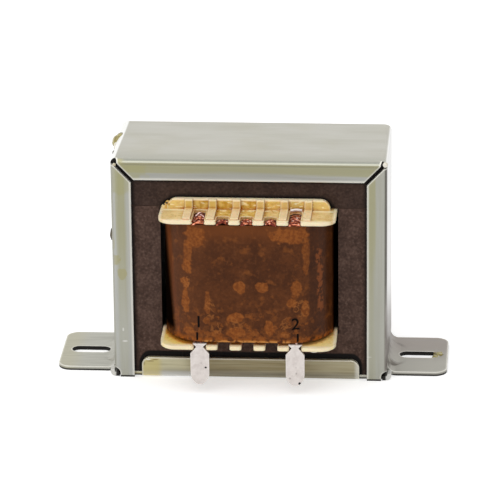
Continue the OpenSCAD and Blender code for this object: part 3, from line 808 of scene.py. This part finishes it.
def make_tinned():
    """Dull hot tinning, nearly white, with faint dimples, a few black specks and painted highlights on its
    edges.
    """
    material, where = new_material("tinned", Metallic=0.45)
    cloud = noise(where, 1.2)
    dimple = noise(where, 0.5, detail=2)
    color = blend(fade(cloud, 0.35, 0.7), (220, 212, 207), (207, 198, 193))
    color = blend(fade(dimple, 0.5, 0.7) * 0.4, color, (230, 224, 220))
    # Painted highlights along the edges
    edge = use(where, edge_highlight, Reach=0.25 * MM, Gain=1.6)
    color = blend(edge, color, (240, 235, 230))
    faint = [(9.05, 3.7, 0.3, 0.25, 0.5), (10.45, 4.85, 0.2, 0.25, 0.5), (10.4, 6.2, 0.15, 0.2, 0.3),
             (-9.9, 6.9, 0.2, 0.2, 0.25)]
    color = add_spots(where, color, faint, (120, 110, 104), ragged=0.5, grain=3000)
    black = [(-8.95, 5.9, 0.28, 0.24, 1), (11.15, 2.55, 0.34, 0.34, 1)]
    color = add_spots(where, color, black, (10, 9, 8), ragged=0.3, grain=3000)
    return finished(material, color, 0.34 + dimple * 0.16, dimple, relief=0.05, edge=0.2)


def make_solder():
    """Soft solder, grey and a little frosted."""
    material, where = new_material("solder", Metallic=0.85)
    frost = noise(where, 0.6, detail=4)
    color = blend(fade(frost, 0.3, 0.7), (206, 206, 208), (168, 168, 172))
    return finished(material, color, 0.3 + frost * 0.25, frost, relief=0.05, edge=0.1)


def make_varnish(name, thick, thin):
    """Hardened dipping varnish, glossy, dark where it is thick and pale where it is thin."""
    material, where = new_material(name)
    depth = noise(where, 1.6)
    color = blend(fade(depth, 0.36, 0.66), thick, thin)
    return finished(material, color, 0.12 + depth * 0.16, depth, relief=0.15, edge=0.1)


def make_ink():
    """Black stamping ink, a little thin in places."""
    material, where = new_material("stamp_ink", Specular_IOR_Level=0.05)
    thin = noise(where, 0.5)
    color = blend(fade(thin, 0.5, 0.8), (8, 5, 4), (26, 15, 10))
    return finished(material, color, 0.5 + thin * 0.2, thin, relief=0.02, edge=0.02)


olive_varnish = make_varnish("olive_varnish", (124, 108, 48), (176, 166, 104))
dark_varnish = make_varnish("dark_varnish", (44, 36, 26), (96, 86, 62))
amber_varnish = make_varnish("amber_varnish", (206, 160, 72), (246, 226, 170))
pale_varnish = make_varnish("pale_varnish", (206, 196, 168), (240, 236, 224))
copper = make_copper()
pale_copper = make_pale_copper()
tinned = make_tinned()
stamp_ink = make_ink()
slot_materials = {
    "frame_steel": make_frame_steel(),
    "base_steel": make_base_steel(),
    "core_steel": make_core_steel(),
    "gap_paper": make_gap_paper(),
    "bobbin_plastic": make_bobbin_plastic(),
    "copper": copper,
    "tape": make_tape(),
    "tinned": tinned,
    "solder": make_solder(),
    "varnish": olive_varnish,
}
for subpart in frame["record"]["subparts"]:
    node = NODES[subpart["node"]]
    node.data.materials.clear()
    node.data.materials.append(slot_materials[subpart["material_slot"]])


# Pieces made as surfaces

# Radii of the wires
TURN_R = 0.25 * MM
HOOP_R = 0.33 * MM
END_R = 0.22 * MM
TAIL_R = 0.24 * MM

# A direction that no wire runs along
ASIDE = (0.1, 0.2, 1.0)

# Marks above the lugs: sizes of the numbers and strokes, and how far the ink stands off the tape
DIGIT_HEIGHT = 2.6 * MM
DIGIT_SHARE = 0.7
INK_SPREAD = 0.012
STROKE_X = 10.75 * MM
STROKE_LOW_Z = 11.8 * MM
STROKE_HIGH_Z = 13.6 * MM
STROKE_WIDTH = 0.42 * MM
INK_GAP = 0.03 * MM


def add_object(name, data):
    """A new object in the scene."""
    holder = bpy.data.objects.new(name, data)
    bpy.context.scene.collection.objects.link(holder)
    return holder


def place_piece(name, points, faces, material, slot):
    """Makes a piece from its points and triangles, riding on the one body."""
    mesh = bpy.data.meshes.new(name)
    mesh.from_pydata(points.tolist(), [], faces.tolist())
    mesh.polygons.foreach_set("use_smooth", np.ones(len(mesh.polygons), bool))
    mesh.materials.append(material)
    piece = add_object(name, mesh)
    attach(piece, "root")
    return piece


def skin_faces(rows, columns):
    """Triangles of a skin of rings, each of columns points, with a pole point before and after them."""
    row, column = np.meshgrid(np.arange(rows - 1), np.arange(columns), indexing="ij")
    here = 1 + row * columns + column
    beside = 1 + row * columns + (column + 1) % columns
    lower = np.stack([here, beside, beside + columns], -1).reshape(-1, 3)
    upper = np.stack([here, beside + columns, here + columns], -1).reshape(-1, 3)
    ring = np.arange(columns)
    after = (ring + 1) % columns
    start = np.stack([np.zeros(columns, int), 1 + after, 1 + ring], -1)
    last = 1 + (rows - 1) * columns
    end = np.stack([np.full(columns, last + columns), last + ring, last + after], -1)
    return np.concatenate([lower, upper, start, end])


def blob(start, shift, radii, lumps, turn, rows=18, columns=28):
    """An uneven drop about start plus shift; shift and radii are in millimetres. On the angles a (round
    the X axis) and b (from -X to +X) the point is the centre plus radii times (-cos b, sin b cos a,
    sin b sin a), swollen by 1 + lumps sin(2a + turn) sin(3b + turn)."""
    center = np.array(start) + np.array(shift) * MM
    radii = np.array(radii) * MM
    b, a = np.meshgrid(np.linspace(0, np.pi, rows + 2)[1:-1],
                       np.linspace(0, 2 * np.pi, columns, endpoint=False), indexing="ij")
    swell = 1 + lumps * np.sin(2 * a + turn) * np.sin(3 * b + turn)
    shape = np.stack([-np.cos(b), np.sin(b) * np.cos(a), np.sin(b) * np.sin(a)], -1) * swell[..., None]
    rings = center + radii * shape
    poles = center + radii * np.array([[-1, 0, 0], [1, 0, 0]])
    return np.concatenate([poles[:1], rings.reshape(-1, 3), poles[1:]]), skin_faces(rows, columns)


def tube(path, radius, sides=12):
    """A round wire: at each point of the path, a ring of that radius across the path. A point closes each
    end."""
    ahead = np.gradient(path, axis=0)
    ahead /= np.linalg.norm(ahead, axis=1, keepdims=True)
    across = np.cross(ahead, ASIDE)
    across /= np.linalg.norm(across, axis=1, keepdims=True)
    third = np.cross(ahead, across)
    angle = np.linspace(0, 2 * np.pi, sides, endpoint=False)[None, :, None]
    rings = path[:, None] + radius * (np.cos(angle) * across[:, None] + np.sin(angle) * third[:, None])
    return np.concatenate([path[:1], rings.reshape(-1, 3), path[-1:]]), skin_faces(len(path), sides)


def join(shapes):
    """Several shapes as one."""
    counts = np.cumsum([0] + [len(points) for points, faces in shapes])
    points = np.concatenate([points for points, faces in shapes])
    faces = np.concatenate([faces + first for (own, faces), first in zip(shapes, counts)])
    return points, faces


def arch(center_x, y, half_width, low_z, rise, lean, count=14):
    """A turn of wire across a notch: z is low_z plus rise times the square of a cosine over the width."""
    t = np.linspace(-1, 1, count)
    return np.stack([center_x + half_width * t, y + lean * t,
                     low_z + rise * np.cos(t * np.pi / 2) ** 2], -1)


def make_notch_turns():
    """Turns of the winding that show in the upper notches, each an uneven arch of wire."""
    seed = np.random.default_rng(7)
    shapes = []
    for place in range(-2, 3):
        depth = 4.6 * MM if abs(place) == 2 else 3.4 * MM
        for y in np.arange(FLANGE_Y + 0.95 * MM, FLANGE_Y + depth, 2 * TURN_R):
            rise = seed.uniform(0.1, 0.55) * MM
            lean = seed.uniform(-0.4, 0.4) * MM
            path = arch(place * NOTCH_PITCH, y, 1.25 * MM, COIL_TOP_Z + 0.1 * MM, rise, lean)
            shapes.append(tube(path, TURN_R))
    place_piece("notch_turns", *join(shapes), copper, "copper")


def make_winding_ends():
    """The winding's ends in the end notches: a tinned hoop at the right, two of copper at the left, and
    crossed tails in front. Along a tail x and y change evenly and z rises by half a sine."""
    seed = np.random.default_rng(3)
    low_z = COIL_TOP_Z + 0.1 * MM
    hoop = arch(LUG_X, FLANGE_Y + 7.6 * MM, 1.25 * MM, low_z + MM, rise=0.15 * MM, lean=0.1 * MM)
    place_piece("start_hoop", *tube(hoop, HOOP_R), tinned, "tinned")
    outer = arch(-LUG_X, FLANGE_Y + 6.2 * MM, MM, low_z, rise=0.7 * MM, lean=0.3 * MM)
    inner = arch(-LUG_X + 0.3 * MM, FLANGE_Y + 5.2 * MM, 0.9 * MM, low_z, rise=0.55 * MM, lean=-0.3 * MM)
    place_piece("finish_hoop", *join([tube(outer, END_R), tube(inner, END_R)]), pale_copper, "copper")
    t = np.linspace(0, 1, 16)
    tails = []
    for number in range(5):
        start, swing = seed.uniform(-0.7, 0.7, 2) * MM
        x = LUG_X + start + swing * (t - 0.5)
        y = FLANGE_Y + (1.9 + 0.25 * number + 2.6 * t) * MM
        z = COIL_TOP_Z + (0.15 + 0.12 * number) * np.sin(np.pi * t) * MM
        tails.append(tube(np.stack([x, y, z], -1), TAIL_R))
    place_piece("start_tails", *join(tails), pale_copper, "copper")


def make_varnish_drops():
    """Drops of hardened varnish: on the left top bend in place of its plain bead, at the right slot, on
    the left wall, by the mitres, beside the rim and under the lower flange."""
    bead_low, bead_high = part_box("varnish_bead")
    middle = (bead_low + bead_high) / 2
    bead = (bead_low.x, middle.y, middle.z)
    full = blob(bead, (1.2, 0.2, -0.1), (1.35, 2.2, 1.45), lumps=0.05, turn=0.6)
    lapped = blob((-WALL_X, middle.y, TOP_Z), (0.6, 1.0, -0.25), (0.7, 1.5, 0.4), lumps=0.1, turn=1.2)
    drop = place_piece("bend_drop", *join([full, lapped]), olive_varnish, "varnish")
    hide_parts("varnish_bead")

    thin = blob(bead, (1.1, -2.6, -0.2), (0.6, 1.9, 0.9), lumps=0.15, turn=0.2)
    mitre = blob((-WALL_X, clamp_low.y, TOP_Z), (0.9, 0.35, -1.25), (0.35, 0.3, 0.35), lumps=0.2, turn=0.4)
    hole = blob((WALL_X, clamp_low.y, TOP_Z), (-0.45, 0.4, -0.55), (0.55, 0.4, 0.6), lumps=0.1, turn=1.1)
    drip = blob((0, FLANGE_Y, bobbin_low.z), (14.2, 0.45, 0.05), (0.8, 0.4, 0.4), lumps=0.1, turn=0.2)
    place_piece("pale_drops", *join([thin, mitre, hole, drip]), pale_varnish, "varnish")

    slot_end = (SLOT_X + SLOT_LENGTH / 2, 0, 0)
    lumps = [blob(slot_end, (-0.1, 0.9, 0.75), (0.9, 1.1, 0.45), lumps=0.2, turn=0.3),
             blob(slot_end, (-0.5, -0.8, 0.6), (0.8, 0.9, 0.5), lumps=0.2, turn=1.4),
             blob(slot_end, (0.4, 0.2, 0.88), (0.6, 0.7, 0.3), lumps=0.2, turn=2.2)]
    place_piece("slot_drop", *join(lumps), olive_varnish, "varnish")

    rim_end = (bobbin_low.x, -RIM_Y, COIL_TOP_Z)
    specks = [blob((-WALL_X, 0, 0), (0, -11.8, 32.2), (0.45, 0.9, 1.3), lumps=0.15, turn=0.9),
              blob((-WALL_X, 0, TOP_Z), (0.1, -5.8, -1.0), (0.3, 0.9, 0.4), lumps=0.2, turn=0.5),
              blob(rim_end, (0.75, -0.75, 1.75), (0.22, 0.2, 0.18), lumps=0.25, turn=0.7),
              blob(rim_end, (1.35, -0.95, 2.15), (0.2, 0.2, 0.2), lumps=0.25, turn=1.7)]
    place_piece("dark_drops", *join(specks), dark_varnish, "varnish")
    fill = [blob(rim_end, (1.2, -0.5, 1.2), (0.95, 0.5, 0.75), lumps=0.12, turn=0.7),
            blob(rim_end, (1.7, -0.5, 1.8), (0.7, 0.52, 0.8), lumps=0.12, turn=2.1)]
    place_piece("rim_fill", *join(fill), amber_varnish, "varnish")


def tape_face(x):
    """Y of the tape's front face: flat in the middle, and round with the corner radius outside it."""
    beyond = np.maximum(np.abs(x) - (wrap_high.x - TAPE_CORNER), 0)
    return wrap_low.y + TAPE_CORNER - np.sqrt(TAPE_CORNER ** 2 - beyond ** 2)


def digit(text, center_x, center_z):
    """A stamped number as flat points in X and Z, with its triangles."""
    curve = bpy.data.curves.new("digit", "FONT")
    curve.body = text
    curve.align_x = "CENTER"
    curve.align_y = "CENTER"
    curve.size = DIGIT_HEIGHT / DIGIT_SHARE
    curve.offset = INK_SPREAD * DIGIT_HEIGHT
    holder = add_object("digit", curve)
    bpy.context.view_layer.update()
    mesh = bpy.data.meshes.new_from_object(holder)
    flat = np.empty(len(mesh.vertices) * 3)
    mesh.vertices.foreach_get("co", flat)
    flat = flat.reshape(-1, 3)
    mesh.calc_loop_triangles()
    faces = np.empty(len(mesh.loop_triangles) * 3, int)
    mesh.loop_triangles.foreach_get("vertices", faces)
    bpy.data.objects.remove(holder)
    points = np.stack([flat[:, 0] + center_x, np.zeros(len(flat)), flat[:, 1] + center_z], -1)
    return points, faces.reshape(-1, 3)


def stroke(center_x, count=10):
    """A short upright stroke of the pen, as wide as 1 minus 0.25 times the square of its height share."""
    t = np.linspace(-1, 1, count)
    half = STROKE_WIDTH / 2 * (1 - 0.25 * t ** 2)
    z = (STROKE_LOW_Z + STROKE_HIGH_Z) / 2 + (STROKE_HIGH_Z - STROKE_LOW_Z) / 2 * t
    left = np.stack([center_x - half, np.zeros(count), z], -1)
    right = np.stack([center_x + half, np.zeros(count), z], -1)
    row = np.arange(count - 1)
    lower = np.stack([row, count + row, count + row + 1], -1)
    upper = np.stack([row, count + row + 1, row + 1], -1)
    return np.concatenate([left, right]), np.concatenate([lower, upper])


def make_terminal_marks():
    """A plain number and a pen stroke on the tape above each lug, bent round the tape's face."""
    points, faces = join([digit("1", -10.4 * MM, 15.9 * MM), digit("2", 10.3 * MM, 15.7 * MM),
                          stroke(-STROKE_X), stroke(STROKE_X)])
    points[:, 1] = tape_face(points[:, 0]) - INK_GAP
    place_piece("terminal_marks", points, faces, stamp_ink, None)


make_notch_turns()
make_winding_ends()
make_varnish_drops()
make_terminal_marks()


# Floor, light and camera

WHITE = (1, 1, 1, 1)
FLOOR_GREY = (0.8, 0.8, 0.8, 1.0)
FLOOR_REACH = 4.0
FLOOR_Z = -0.02 * MM
FLOOR_GLOW = 0.45
SKY_LIGHT = 0.62
LAMP_AIM = (0, 0, 0.02)


def white_share(tree):
    """1 for rays from the camera and for reflected and refracted ones, which see plain white."""
    rays = put(tree, "ShaderNodeLightPath").outputs
    labels = ("Is Glossy Ray", "Is Transmission Ray", "Is Camera Ray")
    return highest(*(Field(tree, rays[label]) for label in labels))


def make_floor():
    """A wide floor just under the feet, which keeps the shadow and looks white round it."""
    sides = [(-1, -1), (1, -1), (1, 1), (-1, 1)]
    corners = [(x * FLOOR_REACH, y * FLOOR_REACH, FLOOR_Z) for x, y in sides]
    mesh = bpy.data.meshes.new("floor")
    mesh.from_pydata(corners, [], [[0, 1, 2, 3]])
    material = bpy.data.materials.new("floor")
    tree = fresh_tree(material)
    matte = field(tree, "ShaderNodeBsdfDiffuse", {"Color": FLOOR_GREY})
    glow = field(tree, "ShaderNodeEmission", {"Color": WHITE, "Strength": white_share(tree) * FLOOR_GLOW})
    both = field(tree, "ShaderNodeAddShader", {0: matte, 1: glow})
    put(tree, "ShaderNodeOutputMaterial", {"Surface": both})
    mesh.materials.append(material)
    floor = add_object("floor", mesh)


def make_world():
    """Even light from all round, and white behind the object."""
    world = bpy.data.worlds.new("studio")
    tree = fresh_tree(world)
    level = SKY_LIGHT + white_share(tree) * (1 - SKY_LIGHT)
    sky = field(tree, "ShaderNodeBackground", {"Color": WHITE, "Strength": level})
    put(tree, "ShaderNodeOutputWorld", {"Surface": sky})
    bpy.context.scene.world = world


def make_lamp(name, place, size, power):
    """A square soft lamp at a place, turned to the object."""
    lamp = bpy.data.lights.new(name, "AREA")
    lamp.size = size
    lamp.energy = power
    holder = add_object(name, lamp)
    holder.location = place
    holder.rotation_euler = (Vector(LAMP_AIM) - Vector(place)).to_track_quat("-Z", "Y").to_euler()


def make_camera():
    """The camera fitted to the frame's edges, by its turn, height, roll, distance and focal length."""
    turn, rise, roll = (math.radians(angle) for angle in (4.232, 20.283, -0.608))
    distance, focal_pixels, picture = 834.43 * MM, 3840.7, 500
    aim = Vector((-0.812, 0, 24.681)) * MM
    back = Vector((math.sin(turn) * math.cos(rise), -math.cos(turn) * math.cos(rise), math.sin(rise)))
    right = Vector((math.cos(turn), math.sin(turn), 0))
    up = back.cross(right)
    rolled_right = math.cos(roll) * right + math.sin(roll) * up
    rolled_up = math.cos(roll) * up - math.sin(roll) * right
    camera = bpy.data.cameras.new("camera")
    camera.sensor_width = 36
    camera.lens = focal_pixels / picture * camera.sensor_width
    camera.clip_start = 0.01
    holder = add_object("camera", camera)
    turned = Matrix((rolled_right, rolled_up, back)).transposed().to_4x4()
    holder.matrix_world = Matrix.Translation(aim + back * distance) @ turned
    bpy.context.scene.camera = holder


make_floor()
make_world()
make_lamp("top_lamp", (-0.2, -0.1, 1.2), size=1.4, power=5)
make_lamp("left_lamp", (-0.95, -0.9, 0.7), size=1, power=4)
make_lamp("front_lamp", (0.1, -1.4, 0.9), size=1, power=3)
make_camera()
bpy.context.scene.view_settings.view_transform = "Standard"
